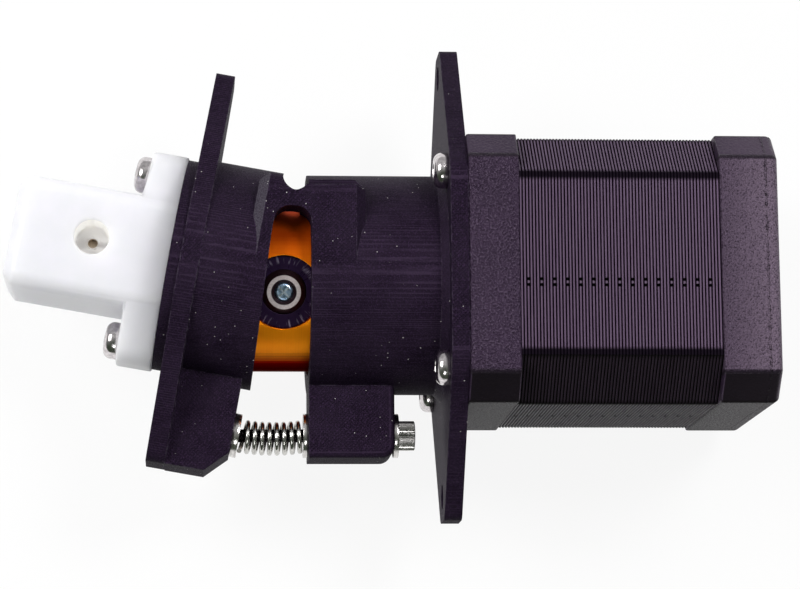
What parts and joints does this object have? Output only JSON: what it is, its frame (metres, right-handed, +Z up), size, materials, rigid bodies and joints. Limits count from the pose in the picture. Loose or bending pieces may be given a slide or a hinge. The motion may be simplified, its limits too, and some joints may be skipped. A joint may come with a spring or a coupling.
{
  "type": "metering pump head",
  "caption": "Valveless metering pump head: white fluid head on a tilting black housing with a sprung stroke adjuster, orange drive hub and square stepper motor.",
  "frame": {"origin": "centre of the mounting flange's head-side face, on the motor axis", "axes": "+X along the motor axis from the fluid head to the motor, +Z up the mounting flange towards the living hinge, +Y away from the side with the drive pin's rest position"},
  "size_m": [0.1203, 0.0459, 0.0758],
  "materials": {
    "printed_nylon": "satin, with fine print layers",
    "white_polymer": "satin, slightly translucent",
    "ceramic": "ground ceramic",
    "seal_polymer": "smooth",
    "seal_rubber": "smooth",
    "stainless": "bright",
    "spring_steel": "drawn wire",
    "hardened_steel": "ground",
    "race_steel": "black oxide",
    "orange_anodised": "anodised orange",
    "cast_black": "black textured paint on die casting",
    "lamination_black": "black coated laminations",
    "copper": "enamelled wire",
    "rotor_steel": "turned",
    "magnet": "sintered",
    "socket_white": "moulded",
    "contact_metal": "plated"
  },
  "bodies": {
    "base": {"rear_housing": "printed_nylon", "living_hinge": "printed_nylon", "adjuster_washer": "stainless", "rear_spring_washer": "stainless", "tilt_spring": "spring_steel", "mounting_screws": "stainless", "motor_front_endbell": "cast_black", "motor_rear_endbell": "cast_black", "stator_stack": "lamination_black", "stator_winding": "copper", "motor_through_screws": "stainless", "bearing_outer_rings": "hardened_steel", "bearing_wave_washer": "spring_steel", "motor_socket": "socket_white", "motor_socket_pins": "contact_metal"},
    "head": {"front_housing": "printed_nylon", "head_block": "white_polymer", "cylinder_liner": "ceramic", "liner_o_rings": "seal_rubber", "piston_seals": "seal_polymer", "seal_retainer": "stainless", "head_screws": "stainless", "tilt_nut": "stainless", "front_spring_washer": "stainless"},
    "adjuster": {"adjusting_screw": "stainless"},
    "rotor": {"motor_shaft": "stainless", "rotor_cores": "rotor_steel", "rotor_magnet": "magnet", "bearing_inner_rings": "hardened_steel", "bearing_balls": "hardened_steel", "drive_hub": "orange_anodised", "hub_set_screws": "race_steel", "ball_race": "race_steel"},
    "swivel": {"drive_ball": "stainless", "drive_pin": "hardened_steel"},
    "cap": {"piston_cap": "stainless"},
    "plunger": {"piston": "ceramic"}
  },
  "joints": [
    {"name": "head_tilt", "type": "hinge", "parent": "base", "child": "head", "pos_m": [-0.02385, 0, 0.0107], "axis": [0, 1, 0], "range_deg": [-4.5, 2], "deforming": ["tilt_spring", "living_hinge"]},
    {"name": "motor_spin", "type": "hinge", "parent": "base", "child": "rotor", "pos_m": [0, 0, 0], "axis": [1, 0, 0], "continuous": true},
    {"name": "ball_swivel", "type": "hinge", "parent": "rotor", "child": "swivel", "pos_m": [-0.0254, -0.00966, -0.00259], "axis": [0, 0.2588, -0.9659], "range_deg": [-14, 14]},
    {"name": "piston_spin", "type": "hinge", "parent": "head", "child": "cap", "pos_m": [-0.02571, 0, 0.00016], "axis": [0.9848, 0, -0.1736], "continuous": true},
    {"name": "piston_stroke", "type": "slide", "parent": "cap", "child": "plunger", "axis": [0.9848, 0, -0.1736], "range_m": [-0.002, 0.002]},
    {"name": "screw_turn", "type": "hinge", "parent": "base", "child": "adjuster", "pos_m": [-0.0055, 0, -0.0242], "axis": [1, 0, 0], "range_deg": [-2300, 1050]}
  ],
  "couplings": [
    {"joint": "piston_spin", "follows": "motor_spin", "ratio": 1},
    {"joint": "ball_swivel", "follows": "piston_stroke", "rad_per_m": 100},
    {"joint": "screw_turn", "follows": "head_tilt", "ratio": 487.3}
  ]
}
